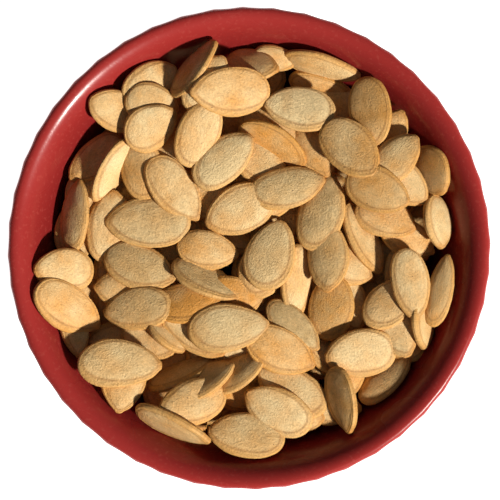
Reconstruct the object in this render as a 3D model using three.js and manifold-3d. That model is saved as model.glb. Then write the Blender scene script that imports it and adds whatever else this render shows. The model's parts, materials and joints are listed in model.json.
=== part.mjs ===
// A bowl heaped with pumpkin seeds in their shells.
//
// Millimetres, +Z up. The origin is the centre of the foot ring, on the surface that the bowl stands on.
// Two solids: the fluted stoneware bowl, and the heap of seeds that lies in it.

import * as THREE from "three";
import { mergeVertices } from "three/addons/utils/BufferGeometryUtils.js";
import Module from "manifold-3d";

const wasm = await Module();
wasm.setup();

// ---- Driving dimensions -------------------------------------------------------------------------

const RIM_DIAMETER = 120;
const BOWL_HEIGHT = 50;
const LIP_RADIUS = 1.6; // of the lip's round outer edge
const FLARE_WIDTH = 5.2; // from the lip's top in to where the inner wall runs straight
const FLARE_DROP = 4.2;
const WALL_LEAN = 29.7; // degrees from the vertical, of the straight part of the inner wall
const OUTER_LEAN = 36; // and of the outer wall just below the lip
const FLOOR_TOP = 4.4;
const FOOT_DIAMETER = 62;
const FOOT_HEIGHT = 3;
const FOOT_RING_WIDTH = 3;
const FOOT_RECESS = 1.4;

const FLUTES = 48;
const FLUTE_PHASE = 1.5; // degrees from +X to the first ridge
const FLUTE_DEPTH_WALL = 0.8;
const FLUTE_DEPTH_LIP = 0.3;

const SEED_THICKNESS = 3.1;
const SEED_RIM_SIDES = 12;
const SEED_TAPER = 0.16; // how much narrower the tip's half is than the round half
const SEED_POINT = 0.3; // how pointed the tip is: none at 0
const SEED_SINK = 0.8; // how far a seed settles into what it lies on

const HEAP_CLEARANCE = 0.35; // between the heap and the bowl
const BED_TOP = 42; // top of the bed under the seeds, on the bowl's axis
const BED_FALL = 9; // how much lower the bed is at the rim's radius
const FILLER_SEEDS = 64;
const FILLER_RADIUS = 44;
const LYING_TILT = 30; // degrees: a seed that is tilted more is wedged in on its edge
const FOLLOW_SHARE = 0.6; // how far a lying seed's own tilt gives way to the slope under it
const FOLLOW_SLOPE = 24; // degrees: the steepest slope that a lying seed follows
const CONTACT_SHARE = 0.96; // share of a lying seed's lower face that clears the seeds under it
const STANDING_RISE = 4.2; // a wedged seed's upper edge over the mean height of the heap round it
const STANDING_LEDGE = 2.6; // how far over a wedged seed's middle the next seed can rest
const CORE_DEPTH = 2; // the core's top lies this far under the top of the seeds
const CORE_LEAST_REACH = 40; // the core goes out at least this far from the axis
const CORE_FLOOR_RADIUS = 15; // the core is flat below within this radius
const CORE_RINGS = 11;
const CORE_SECTORS = 40;

// The seeds that show, lowest first. Place of the middle on a picture of the bowl from above in which
// the rim is RIM_PX wide and centred on CENTRE_PX (x right, y down), then the direction of the tip in
// degrees counterclockwise, the length and width in millimetres, and the tilt in degrees with the
// direction that the upper face leans towards.
const RIM_PX = 484;
const CENTRE_PX = [249, 248];
const SHOWN_SEEDS = [
  [70, 234, 97, 15, 9, 28, 7],
  [85, 184, 68, 16, 9, 28, -18],
  [93, 158, 222, 17, 9, 14, -40],
  [122, 290, 175, 15.5, 10.5, 8, 200],
  [112, 343, 180, 15.5, 10, 6, 90],
  [73, 326, -83, 17, 7.5, 10, 60],
  [208, 250, -10, 16, 10, 8, -60],
  [407, 268, 85, 16.5, 10.5, 8, 120],
  [347, 303, -68, 16.5, 10.5, 8, 10],
  [423, 322, -87, 14.5, 10, 60, 3],
  [335, 409, 0, 14.5, 9, 10, -90],
  [298, 419, 4, 14, 9, 12, -100],
  [260, 162, -35, 16.5, 10.5, 8, -40],
  [215, 200, -20, 16.5, 10.5, 6, 150],
  [166, 148, 20, 16.5, 10.5, 8, 0],
  [345, 108, -30, 16.5, 10.5, 8, 140],
  [390, 133, 60, 14, 8.5, 20, -30],
  [148, 342, -22, 14.5, 9, 14, 120],
  [233, 394, -35, 15, 9, 10, -60],
  [272, 130, -30, 17.5, 10.5, 8, -40],
  [316, 150, -62, 15.5, 9.5, 26, 140],
  [325, 354, -50, 15, 9.5, 40, 40],
  [347, 368, -80, 15.5, 10, 15, 10],
  [236, 342, 5, 16.5, 10, 10, -80],
  [234, 297, -8, 15.5, 10.5, 12, -60],
  [266, 262, 65, 19.5, 11.5, 10, -160],
  [123, 380, -100, 17.5, 11.5, 14, -60],
  [291, 391, 150, 20, 11.5, 10, -60],
  [276, 57, -8, 12, 7, 12, -90],
  [251, 65, -14, 15.5, 9.5, 31, 125],
  [194, 67, 52, 18, 11, 62, 142],
  [207, 83, 58, 16.5, 10.5, 24, 148],
  [113, 109, 155, 15, 10.5, 20, -40],
  [150, 82, 28, 16, 10.5, 14, -40],
  [141, 166, 100, 17, 11, 6, -40],
  [432, 171, -48, 14, 11, 38, 185],
  [404, 183, -42, 15.5, 10.5, 10, 140],
  [396, 158, 48, 16, 10, 14, -42],
  [397, 330, -65, 15.5, 10.5, 10, -40],
  [321, 84, -13, 16.5, 7.8, 45, -104],
  [323, 65, -16, 20.5, 9, 54, -106],
  [274, 143, -30, 19.5, 10.2, 40, -120],
  [199, 131, 70, 19, 11, 6, -40],
  [152, 103, -12, 14, 10.5, 10, 60],
  [151, 126, 38, 15, 11.5, 8, -40],
  [111, 170, 237, 18.5, 10.5, 52, -32],
  [74, 214, 84, 18.5, 8.4, 36, 174],
  [62, 270, 180, 16.5, 11, 22, -20],
  [166, 337, -40, 12, 7, 50, 48],
  [195, 331, -38, 19.5, 11, 8, -40],
  [189, 302, 8, 18, 10.5, 10, 140],
  [136, 309, 188, 18.5, 11, 12, 140],
  [109, 226, 83, 19, 12, 12, -30],
  [140, 267, -22, 19.5, 11.5, 6, 140],
  [67, 308, -29, 20.5, 11.5, 26, -15],
  [120, 364, -1, 21.5, 12, 6, -40],
  [173, 426, -25, 21, 11, 64, -115],
  [191, 403, 200, 18.5, 11.5, 10, -40],
  [203, 381, 30, 18, 10.5, 45, 120],
  [181, 375, 23, 18.5, 11, 64, 113],
  [238, 372, 32, 16.5, 10, 40, 122],
  [245, 436, 173, 20, 11.5, 10, -60],
  [277, 411, 152, 19, 11.5, 10, -40],
  [332, 306, 82, 17.5, 11.5, 12, 150],
  [345, 264, -28, 16.5, 10, 8, -60],
  [328, 259, -88, 17.5, 10.5, 10, 160],
  [296, 284, -93, 20, 9, 32, -3],
  [268, 198, 8, 15, 10.5, 6, -90],
  [271, 254, 73, 18.5, 12.5, 6, 140],
  [322, 212, 74, 20, 11.5, 12, 150],
  [294, 327, -43, 17.5, 8.6, 18, 47],
  [281, 351, -27, 19.5, 11.5, 8, -60],
  [229, 328, 5, 21, 12, 6, -40],
  [206, 280, -28, 19, 11, 46, 62],
  [146, 222, 180, 22, 13, 4, 140],
  [174, 189, -52, 20, 11, 6, -40],
  [224, 159, 42, 19, 11, 8, 140],
  [238, 210, 205, 18.5, 12.5, 8, -40],
  [288, 187, 13, 19.5, 10.5, 8, 140],
  [409, 238, -28, 16, 9.5, 10, -60],
  [387, 217, -20, 16.5, 10.5, 10, -60],
  [378, 190, -21, 17.2, 11.5, 6, -60],
  [394, 301, 38, 18, 10.5, 10, -60],
  [411, 285, -82, 18.5, 10, 8, -40],
  [364, 239, -65, 20, 9.5, 42, 25],
  [441, 290, 79, 19, 6.8, 12, 170],
  [360, 354, 188, 18.5, 12.5, 8, -40],
  [387, 379, 44, 17.5, 8.5, 31, 132],
  [342, 401, -82, 17.5, 10.4, 50, 196],
  [438, 222, -81, 14, 9.5, 48, 9],
  [371, 112, -78, 18.5, 11, 10, 150],
  [351, 149, -45, 18.5, 12.4, 6, -60],
  [299, 108, 172, 18.5, 11.5, 8, -40],
  [229, 91, 180, 21, 12.5, 6, -60],
];

// ---- Bowl ---------------------------------------------------------------------------------------

const RIM_RADIUS = RIM_DIAMETER / 2;
const LIP_TOP = new THREE.Vector2(RIM_RADIUS - LIP_RADIUS, BOWL_HEIGHT);

// A point further up or down a wall that leans outwards.
function alongWall(start, leanDegrees, distance) {
  const lean = THREE.MathUtils.degToRad(leanDegrees);
  return new THREE.Vector2(start.x + distance * Math.sin(lean), start.y + distance * Math.cos(lean));
}

// Points round the lip's outer edge, from the outer wall's lean to the lip's top.
function lipEdgePoints(steps) {
  const points = [];
  for (let i = 0; i <= steps; i++) {
    const angle = THREE.MathUtils.degToRad(-OUTER_LEAN + ((90 + OUTER_LEAN) * i) / steps);
    const out = LIP_RADIUS * Math.cos(angle);
    const down = LIP_RADIUS * (1 - Math.sin(angle));
    points.push(new THREE.Vector2(LIP_TOP.x + out, LIP_TOP.y - down));
  }
  return points;
}

// The inner face curls up from the floor, runs straight up its lean, and flares over into the lip.
const wallTop = new THREE.Vector2(LIP_TOP.x - FLARE_WIDTH, LIP_TOP.y - FLARE_DROP);
const innerWall = new THREE.CubicBezierCurve(
  new THREE.Vector2(0, FLOOR_TOP),
  new THREE.Vector2(38, FLOOR_TOP),
  alongWall(wallTop, WALL_LEAN, -27),
  wallTop,
);
const flare = new THREE.CubicBezierCurve(
  wallTop,
  alongWall(wallTop, WALL_LEAN, 2.2),
  new THREE.Vector2(LIP_TOP.x - 1.9, LIP_TOP.y),
  LIP_TOP,
);
const innerFacePoints = [...innerWall.getPoints(9), ...flare.getPoints(3).slice(1)];

// The outer face curls up from the foot and leans out to the lip.
const outerTop = lipEdgePoints(1)[0];
const outerWall = new THREE.CubicBezierCurve(
  new THREE.Vector2(FOOT_DIAMETER / 2, FOOT_HEIGHT),
  new THREE.Vector2(FOOT_DIAMETER / 2 + 9, FOOT_HEIGHT + 3),
  alongWall(outerTop, OUTER_LEAN, -24),
  outerTop,
);

function bowlProfile() {
  const footOuter = FOOT_DIAMETER / 2;
  const footInner = footOuter - FOOT_RING_WIDTH;
  return [
    new THREE.Vector2(0, FOOT_RECESS),
    new THREE.Vector2(footInner - FOOT_RECESS, FOOT_RECESS),
    new THREE.Vector2(footInner, 0),
    new THREE.Vector2(footOuter - 0.4, 0),
    new THREE.Vector2(footOuter, 0.4),
    ...outerWall.getPoints(7),
    ...lipEdgePoints(3).slice(1),
    ...innerFacePoints.toReversed().slice(1),
  ];
}

// Depth of the flutes at a height on the outside: none at the foot, deepest on the wall, faint at the lip.
function fluteDepth(z) {
  const up = THREE.MathUtils.clamp((z - FOOT_HEIGHT) / (BOWL_HEIGHT - LIP_RADIUS - FOOT_HEIGHT), 0, 1);
  const fade = THREE.MathUtils.clamp((BOWL_HEIGHT - z) / LIP_RADIUS, 0, 1);
  return (FLUTE_DEPTH_WALL * Math.sin(Math.PI * up) + FLUTE_DEPTH_LIP * up) * fade;
}

function bowlGeometry() {
  const profile = bowlProfile();
  const segments = 2 * FLUTES; // one step on each ridge and one in each flute
  const start = THREE.MathUtils.degToRad(FLUTE_PHASE + 90);
  const lathe = new THREE.LatheGeometry(profile, segments, start);
  lathe.rotateX(Math.PI / 2);
  const position = lathe.getAttribute("position");
  const outsideRows = profile.findIndex((point) => point.y >= BOWL_HEIGHT);
  for (let i = 0; i < position.count; i++) {
    const row = i % profile.length;
    const column = Math.floor(i / profile.length);
    if (column % 2 === 0 || row >= outsideRows) continue;
    const radius = Math.hypot(position.getX(i), position.getY(i));
    const scale = radius > 0 ? 1 - fluteDepth(position.getZ(i)) / radius : 1;
    position.setX(i, position.getX(i) * scale);
    position.setY(i, position.getY(i) * scale);
  }
  return lathe;
}

// ---- Seeds --------------------------------------------------------------------------------------

// A repeatable value from 0 to 1 for a whole number and a channel.
function draw(index, channel) {
  const value = Math.sin(index * 12.9898 + channel * 78.233) * 43758.5453;
  return value - Math.floor(value);
}

// A point of a seed's outline, from its middle towards the tip and sideways. The angle starts at the tip.
function outlinePoint(seed, angle) {
  const along = Math.cos(angle);
  const side = Math.sin(angle);
  const pointed = Math.abs(side) ** ((SEED_POINT * (1 + along)) / 2);
  return [(seed.length / 2) * along, (seed.width / 2) * side * pointed * (1 - SEED_TAPER * along)];
}

// The three directions of a seed: towards its tip, across it, and out of its upper face.
function seedAxes(seed) {
  const tip = new THREE.Vector3(Math.cos(seed.heading), Math.sin(seed.heading), 0);
  tip.addScaledVector(seed.up, -tip.dot(seed.up)).normalize();
  const across = new THREE.Vector3().crossVectors(seed.up, tip);
  return { tip, across, up: seed.up };
}

function makeSeed(x, y, headingDegrees, length, width, tiltDegrees, leanDegrees) {
  const tilt = THREE.MathUtils.degToRad(tiltDegrees);
  const lean = THREE.MathUtils.degToRad(leanDegrees);
  return {
    x,
    y,
    heading: THREE.MathUtils.degToRad(headingDegrees),
    length,
    width,
    tilt,
    up: new THREE.Vector3(Math.sin(tilt) * Math.cos(lean), Math.sin(tilt) * Math.sin(lean), Math.cos(tilt)),
  };
}

function shownSeeds() {
  const mmPerPx = RIM_DIAMETER / RIM_PX;
  return SHOWN_SEEDS.map(([px, py, ...rest]) =>
    makeSeed((px - CENTRE_PX[0]) * mmPerPx, (CENTRE_PX[1] - py) * mmPerPx, ...rest),
  );
}

// The layer under them, spread evenly by a spiral, with every seed turned and tilted its own way.
function fillerSeeds() {
  const goldenAngle = Math.PI * (3 - Math.sqrt(5));
  const seeds = [];
  for (let i = 0; i < FILLER_SEEDS; i++) {
    const radius = FILLER_RADIUS * Math.sqrt((i + 0.5) / FILLER_SEEDS);
    const x = radius * Math.cos(i * goldenAngle);
    const y = radius * Math.sin(i * goldenAngle);
    const length = 15.5 + 4 * draw(i, 1);
    const width = length * (0.56 + 0.08 * draw(i, 2));
    seeds.push(makeSeed(x, y, 360 * draw(i, 3), length, width, 22 * draw(i, 4), 360 * draw(i, 5)));
  }
  return seeds;
}

// ---- Laying the heap ----------------------------------------------------------------------------

const CELL = 0.6;
const GRID_REACH = Math.ceil(RIM_RADIUS / CELL);
const GRID_SIZE = 2 * GRID_REACH + 1;
const FACE_STEPS_ALONG = 34;
const FACE_STEPS_ACROSS = 28;

const WALL_GAP = HEAP_CLEARANCE / Math.cos(THREE.MathUtils.degToRad(WALL_LEAN));

// Height of the inner wall over a radius.
function wallHeight(radius) {
  const next = innerFacePoints.findIndex((point) => point.x >= radius);
  if (next < 0) return BOWL_HEIGHT;
  if (next === 0) return FLOOR_TOP;
  const low = innerFacePoints[next - 1];
  const high = innerFacePoints[next];
  return THREE.MathUtils.mapLinear(radius, low.x, high.x, low.y, high.y);
}

function cellIndex(x, y) {
  const column = Math.round(x / CELL) + GRID_REACH;
  const row = Math.round(y / CELL) + GRID_REACH;
  const inside = column >= 0 && row >= 0 && column < GRID_SIZE && row < GRID_SIZE;
  return inside ? row * GRID_SIZE + column : -1;
}

// Heights over a grid of cells: the wall, and the heap, which starts as a bed in the shape of a low dome.
function emptyHeap() {
  const walls = new Float64Array(GRID_SIZE * GRID_SIZE);
  const tops = new Float64Array(GRID_SIZE * GRID_SIZE);
  for (let row = 0; row < GRID_SIZE; row++) {
    for (let column = 0; column < GRID_SIZE; column++) {
      const radius = Math.hypot(column - GRID_REACH, row - GRID_REACH) * CELL;
      const cell = row * GRID_SIZE + column;
      walls[cell] = wallHeight(radius + WALL_GAP);
      tops[cell] = BED_TOP - BED_FALL * (radius / RIM_RADIUS) ** 2;
    }
  }
  return { walls, tops };
}

// Points all over a seed's upper or lower face, from its middle, each with the cell that it is over.
function facePoints(seed, side) {
  const { tip, across, up } = seedAxes(seed);
  const points = [];
  for (let i = 0; i <= FACE_STEPS_ALONG; i++) {
    const angle = (Math.PI * i) / FACE_STEPS_ALONG;
    const [along, half] = outlinePoint(seed, angle);
    for (let j = 0; j <= FACE_STEPS_ACROSS; j++) {
      const share = (2 * j) / FACE_STEPS_ACROSS - 1;
      const dome = (1 - share ** 2) * Math.sin(angle) ** 2;
      const point = new THREE.Vector3();
      point.addScaledVector(tip, along).addScaledVector(across, half * share);
      point.addScaledVector(up, (side * SEED_THICKNESS * Math.max(dome, 0.1)) / 2);
      const cell = cellIndex(seed.x + point.x, seed.y + point.y);
      if (cell >= 0) points.push({ cell, along, sideways: half * share, z: point.z });
    }
  }
  return points;
}

function mean(values) {
  return values.reduce((sum, value) => sum + value, 0) / values.length;
}

// Turns a lying seed towards the slope of what is under it.
function followSlope(seed, ground) {
  const level = { ...seed, up: new THREE.Vector3(0, 0, 1) };
  const { tip, across } = seedAxes(level);
  const points = facePoints(level, -1);
  const middle = mean(points.map((point) => point.along));
  const slopeOver = (offset) => {
    const rise = mean(points.map((point) => offset(point) * ground(point.cell)));
    return rise / mean(points.map((point) => offset(point) ** 2));
  };
  const slope = new THREE.Vector3();
  slope.addScaledVector(tip, slopeOver((point) => point.along - middle));
  slope.addScaledVector(across, slopeOver((point) => point.sideways));
  slope.clampLength(0, Math.tan(THREE.MathUtils.degToRad(FOLLOW_SLOPE)));
  const square = new THREE.Vector3(-slope.x, -slope.y, 1).normalize();
  seed.up.lerp(square, FOLLOW_SHARE).normalize();
}

// Finds the height of a seed's middle, then raises the heap by the seed.
function laySeed(seed, { walls, tops }) {
  if (seed.tilt > THREE.MathUtils.degToRad(LYING_TILT)) {
    const around = mean(facePoints(seed, -1).map((point) => tops[point.cell]));
    seed.z = around + STANDING_RISE - (seed.width / 2) * Math.sin(seed.tilt);
    keepOffWall(seed, walls);
    raiseHeap(seed, tops, seed.z + STANDING_LEDGE);
    return;
  }
  const ground = (cell) => Math.max(tops[cell], walls[cell]);
  followSlope(seed, ground);
  const contacts = facePoints(seed, -1).map((point) => ground(point.cell) - point.z);
  contacts.sort((a, b) => a - b);
  seed.z = contacts[Math.floor(CONTACT_SHARE * (contacts.length - 1))] - SEED_SINK;
  keepOffWall(seed, walls);
  raiseHeap(seed, tops, Infinity);
}

// A filler lies half sunk in the bed, at its own tilt.
function layFiller(seed, { walls, tops }) {
  seed.z = BED_TOP - BED_FALL * (Math.hypot(seed.x, seed.y) / RIM_RADIUS) ** 2;
  keepOffWall(seed, walls);
  raiseHeap(seed, tops, Infinity);
}

function keepOffWall(seed, walls) {
  for (const point of facePoints(seed, -1)) {
    seed.z = Math.max(seed.z, walls[point.cell] - point.z);
  }
}

function raiseHeap(seed, tops, ceiling) {
  for (const point of facePoints(seed, 1)) {
    tops[point.cell] = Math.max(tops[point.cell], Math.min(seed.z + point.z, ceiling));
  }
}

// ---- Solids -------------------------------------------------------------------------------------

function manifoldFrom(vertices, triangles) {
  return new wasm.Manifold(
    new wasm.Mesh({
      numProp: 3,
      vertProperties: new Float32Array(vertices),
      triVerts: new Uint32Array(triangles),
    }),
  );
}

function geometryFrom(manifold) {
  const mesh = manifold.getMesh();
  const geometry = new THREE.BufferGeometry();
  geometry.setAttribute("position", new THREE.BufferAttribute(mesh.vertProperties, 3));
  geometry.setIndex(new THREE.BufferAttribute(mesh.triVerts, 1));
  geometry.computeVertexNormals();
  return geometry;
}

// A seed with few sides: a rim, and a short ridge along the middle of each face.
function seedSolid(seed) {
  const { tip, across, up } = seedAxes(seed);
  const centre = new THREE.Vector3(seed.x, seed.y, seed.z);
  const vertices = [];
  const add = (along, side, rise) => {
    const point = centre.clone();
    point.addScaledVector(tip, along).addScaledVector(across, side).addScaledVector(up, rise);
    vertices.push(point.x, point.y, point.z);
  };
  for (let i = 0; i < SEED_RIM_SIDES; i++) {
    const [along, half] = outlinePoint(seed, (2 * Math.PI * (i + 0.5)) / SEED_RIM_SIDES);
    add(along, half, 0);
  }
  const ridge = 0.2 * seed.length;
  for (const face of [1, -1]) {
    add(ridge, 0, (face * SEED_THICKNESS) / 2);
    add(-ridge, 0, (face * SEED_THICKNESS) / 2);
  }
  const triangles = [];
  const nearTip = (i) => Math.cos((2 * Math.PI * (i + 0.5)) / SEED_RIM_SIDES) > 0;
  for (const [top, flip] of [[SEED_RIM_SIDES, false], [SEED_RIM_SIDES + 2, true]]) {
    const push = (a, b, c) => triangles.push(...(flip ? [a, c, b] : [a, b, c]));
    for (let i = 0; i < SEED_RIM_SIDES; i++) {
      const next = (i + 1) % SEED_RIM_SIDES;
      const ridgeEnd = nearTip(i) ? top : top + 1;
      const nextEnd = nearTip(next) ? top : top + 1;
      push(i, next, ridgeEnd);
      if (nextEnd !== ridgeEnd) push(next, nextEnd, ridgeEnd);
    }
  }
  return manifoldFrom(vertices, triangles);
}

const SMOOTHING_CELLS = 6;

// Mean height of the heap round a point.
function smoothHeight(tops, x, y) {
  const heights = [];
  for (let i = -SMOOTHING_CELLS; i <= SMOOTHING_CELLS; i++) {
    for (let j = -SMOOTHING_CELLS; j <= SMOOTHING_CELLS; j++) {
      const cell = cellIndex(x + i * CELL, y + j * CELL);
      if (Math.hypot(i, j) <= SMOOTHING_CELLS && cell >= 0) heights.push(tops[cell]);
    }
  }
  return mean(heights);
}

function coreTop(heap, x, y) {
  return smoothHeight(heap.tops, x, y) - CORE_DEPTH;
}

// How far out, in one direction, the core's top stays above the wall.
function coreReach(heap, angle) {
  let radius = CORE_LEAST_REACH;
  while (coreTop(heap, radius * Math.cos(angle), radius * Math.sin(angle)) > wallHeight(radius + WALL_GAP)) {
    radius += CELL / 2;
  }
  return radius;
}

// The core under the seeds: the bowl's hollow up to an uneven top that follows the heap to the wall.
function coreSolid(heap) {
  const angles = Array.from({ length: CORE_SECTORS }, (_, sector) => (2 * Math.PI * sector) / CORE_SECTORS);
  const reaches = angles.map((angle) => coreReach(heap, angle));
  const top = (x, y) => coreTop(heap, x, y);
  const lowestEdge = wallHeight(Math.min(...reaches));
  const side = innerFacePoints
    .filter((point) => point.x > CORE_FLOOR_RADIUS && point.y + HEAP_CLEARANCE < lowestEdge)
    .toReversed();
  const vertices = [0, 0, top(0, 0)];
  const addRing = (radiusOf, heightAt) => {
    angles.forEach((angle, sector) => {
      const radius = radiusOf(sector);
      const x = radius * Math.cos(angle);
      const y = radius * Math.sin(angle);
      vertices.push(x, y, heightAt(x, y, radius));
    });
  };
  for (let ring = 1; ring < CORE_RINGS; ring++) {
    addRing((sector) => (reaches[sector] * ring) / CORE_RINGS, top);
  }
  addRing((sector) => reaches[sector], (x, y, radius) => wallHeight(radius + WALL_GAP));
  for (const { x, y } of side) {
    addRing(() => x - WALL_GAP, () => y + HEAP_CLEARANCE);
  }
  const rings = CORE_RINGS + side.length;
  const bottom = vertices.length / 3;
  vertices.push(0, 0, FLOOR_TOP + HEAP_CLEARANCE);
  const triangles = [];
  for (let sector = 0; sector < CORE_SECTORS; sector++) {
    const next = (sector + 1) % CORE_SECTORS;
    triangles.push(0, 1 + sector, 1 + next);
    for (let ring = 0; ring < rings - 1; ring++) {
      const inner = 1 + ring * CORE_SECTORS;
      const outer = inner + CORE_SECTORS;
      triangles.push(inner + sector, outer + sector, outer + next);
      triangles.push(inner + sector, outer + next, inner + next);
    }
    const last = 1 + (rings - 1) * CORE_SECTORS;
    triangles.push(last + sector, bottom, last + next);
  }
  return manifoldFrom(vertices, triangles);
}

function heapGeometry() {
  const heap = emptyHeap();
  for (const seed of fillerSeeds()) layFiller(seed, heap);
  const shown = shownSeeds();
  for (const seed of shown) laySeed(seed, heap);
  const fused = wasm.Manifold.union([coreSolid(heap), ...shown.map(seedSolid)]);
  // Fusing can close a hollow between seeds or leave a scrap: only the one outer skin is kept.
  const pieces = fused.decompose();
  pieces.sort((a, b) => b.volume() - a.volume());
  return geometryFrom(pieces[0]);
}

// ---- Scene graph --------------------------------------------------------------------------------

const glazedStoneware = new THREE.MeshStandardMaterial({ color: 0xa03029, roughness: 0.25, metalness: 0 });
const seedHull = new THREE.MeshStandardMaterial({ color: 0xdcb684, roughness: 0.7, metalness: 0 });

function closedGeometry(geometry) {
  geometry.deleteAttribute("normal");
  geometry.deleteAttribute("uv");
  const merged = mergeVertices(geometry, 1e-4);
  merged.computeVertexNormals();
  return merged;
}

const bowl = new THREE.Mesh(closedGeometry(bowlGeometry()), glazedStoneware);
bowl.name = "bowl";

const seeds = new THREE.Mesh(heapGeometry(), seedHull);
seeds.name = "seeds";

const bowlOfSeeds = new THREE.Group();
bowlOfSeeds.add(bowl, seeds);

export default bowlOfSeeds;
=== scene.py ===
"""A stoneware bowl heaped with roasted pumpkin seeds in their shells, dressed round its solid model.

Metres, +Z up. The bowl stands on z = 0 and its axis is the Z axis.
"""

import json

import bpy
import numpy as np
from mathutils import Matrix, Vector

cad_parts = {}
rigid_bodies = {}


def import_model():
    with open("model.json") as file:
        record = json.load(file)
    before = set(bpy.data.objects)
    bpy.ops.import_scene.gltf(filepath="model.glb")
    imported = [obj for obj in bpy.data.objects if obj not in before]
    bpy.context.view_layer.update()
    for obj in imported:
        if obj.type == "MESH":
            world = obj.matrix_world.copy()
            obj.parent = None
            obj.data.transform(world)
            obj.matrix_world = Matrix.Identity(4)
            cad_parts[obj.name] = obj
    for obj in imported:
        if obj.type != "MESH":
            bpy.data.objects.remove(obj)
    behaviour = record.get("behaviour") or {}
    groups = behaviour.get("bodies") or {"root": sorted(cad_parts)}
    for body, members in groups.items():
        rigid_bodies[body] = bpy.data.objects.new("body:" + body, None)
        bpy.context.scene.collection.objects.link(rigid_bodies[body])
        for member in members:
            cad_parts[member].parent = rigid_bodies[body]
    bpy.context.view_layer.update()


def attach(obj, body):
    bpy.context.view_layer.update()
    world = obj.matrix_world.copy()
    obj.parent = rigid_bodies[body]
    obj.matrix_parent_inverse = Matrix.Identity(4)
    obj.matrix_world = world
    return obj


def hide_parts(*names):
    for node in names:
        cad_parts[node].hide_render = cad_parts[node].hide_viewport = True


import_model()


# ---- Bowl ---------------------------------------------------------------------------------------
# A thrown stoneware bowl with a smooth flaring inside, a full round lip and 48 shallow flutes cut
# round the outside. It was dipped in a glossy brick-red glaze, and the foot ring was wiped bare.

MM = 0.001

RIM_RADIUS = 60.0
BOWL_HEIGHT = 50.0
LIP_RADIUS = 1.6
FLARE_WIDTH = 5.2
FLARE_DROP = 4.2
WALL_LEAN = np.radians(29.7)
OUTER_LEAN = np.radians(36)
FLOOR_TOP = 4.4
FOOT_RADIUS = 31.0
FOOT_HEIGHT = 3.0
FOOT_RING_WIDTH = 3.0
FOOT_RECESS = 1.4
FOOT_SLOPE = 1.8  # from the recess down to the ring
FOOT_ROUND = 0.5  # the ring's outer edge
FOOT_BREAK = 0.3  # the ring's inner edge
FOOT_LIFT = 0.15
BARE_HEIGHT = 0.12  # the foot ring is bare up to here

# The handles at both ends of the cubic curves that draw the section, and their steps.
OUTER_PULL_FOOT = (9.0, 3.0)
OUTER_PULL_LIP = 24.0
FLOOR_PULL = 38.0
WALL_PULL = 27.0
FLARE_PULL_WALL = 2.2
FLARE_PULL_LIP = 1.9
WALL_STEPS = 34
FLARE_STEPS = 14
LIP_STEPS = 12

FLUTES = 48
FLUTE_PHASE = np.radians(1.5)
FLUTE_DEPTH_WALL = 0.8
FLUTE_DEPTH_LIP = 0.3
FLUTE_ARRIS = 0.12  # how rounded the ridge between two flutes is
FLUTE_UNEVEN = 0.3  # spread of the flutes' depths, as a share
RIDGE_WANDER = 0.16  # how far a ridge strays, as a share of a flute's width
STEPS_PER_FLUTE = 10

# Painted shade: the inside is darkened down the flare towards the heap, with the colour of glaze pooled in
# a flute.
INSIDE_PAINTED_SHADE = 0.65  # at the foot of the flare, where 1 is as in the bottom of a flute
GLAZE_RED = "#A2322E"
GLAZE_DEEP = "#962B28"
# Glaze pooled in the flutes, and also the painted shade down the inside.
GLAZE_POOLED_AND_SHADED = "#741C1B"
GLAZE_THIN = "#A54536"
GLAZE_SPECK = "#B5544A"
CLAY_DARK = "#8F6F55"
CLAY_PALE = "#C7AB8A"

# How wide the patterns of glaze and clay are. Real pinholes are finer than the pits, and would not show.
DRIFT_SIZE = 24.0
RIPPLE_SIZE = 3.2
SPECK_SIZE = 0.9
PIT_SIZE = 0.5
SAND_SIZE = 0.8


def draw(index, channel):
    """A repeatable value from 0 to 1 for a whole number and a channel."""
    value = np.sin(np.asarray(index) * 12.9898 + channel * 78.233) * 43758.5453
    return value - np.floor(value)


def curve(start, first, second, end, steps):
    """Points on a cubic curve, without its start."""
    t = np.linspace(0, 1, steps + 1)[1:, None]
    ends = (1 - t) ** 3 * np.array(start) + t**3 * np.array(end)
    return ends + 3 * (1 - t) ** 2 * t * np.array(first) + 3 * (1 - t) * t**2 * np.array(second)


def along_wall(start, lean, distance):
    """A point up a wall that leans out from upright by an angle."""
    return np.array(start) + distance * np.array([np.sin(lean), np.cos(lean)])


def bowl_profile():
    """Radius and height of the section, from under the middle round the outside to the floor, and how
    many of its points are on the outside."""
    lip_top = np.array([RIM_RADIUS - LIP_RADIUS, BOWL_HEIGHT])
    edge = np.linspace(-OUTER_LEAN, np.pi / 2, LIP_STEPS + 1)[:, None]
    lip = lip_top + LIP_RADIUS * np.hstack([np.cos(edge), np.sin(edge) - 1])
    foot_inner = FOOT_RADIUS - FOOT_RING_WIDTH
    foot = [
        [0, FOOT_RECESS], [foot_inner / 2, FOOT_RECESS], [foot_inner - FOOT_SLOPE, FOOT_RECESS],
        [foot_inner - FOOT_SLOPE / 2, FOOT_RECESS * 0.7], [foot_inner, FOOT_LIFT],
        [foot_inner + FOOT_BREAK, 0], [FOOT_RADIUS - FOOT_ROUND, 0],
        [FOOT_RADIUS - FOOT_ROUND / 5, FOOT_LIFT], [FOOT_RADIUS, FOOT_ROUND], [FOOT_RADIUS, FOOT_HEIGHT],
    ]
    outer = curve(
        foot[-1], np.add(foot[-1], OUTER_PULL_FOOT),
        along_wall(lip[0], OUTER_LEAN, -OUTER_PULL_LIP), lip[0], WALL_STEPS,
    )
    wall_top = lip_top - np.array([FLARE_WIDTH, FLARE_DROP])
    wall = curve(
        (0, FLOOR_TOP), (FLOOR_PULL, FLOOR_TOP),
        along_wall(wall_top, WALL_LEAN, -WALL_PULL), wall_top, WALL_STEPS,
    )
    flare = curve(
        wall_top, along_wall(wall_top, WALL_LEAN, FLARE_PULL_WALL),
        (lip_top[0] - FLARE_PULL_LIP, lip_top[1]), lip_top, FLARE_STEPS,
    )
    inside = np.vstack([[0, FLOOR_TOP], wall, flare])[::-1]
    return np.vstack([foot, outer, lip[1:], inside[1:]]), len(foot) + len(outer) + len(lip) - 1


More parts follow.
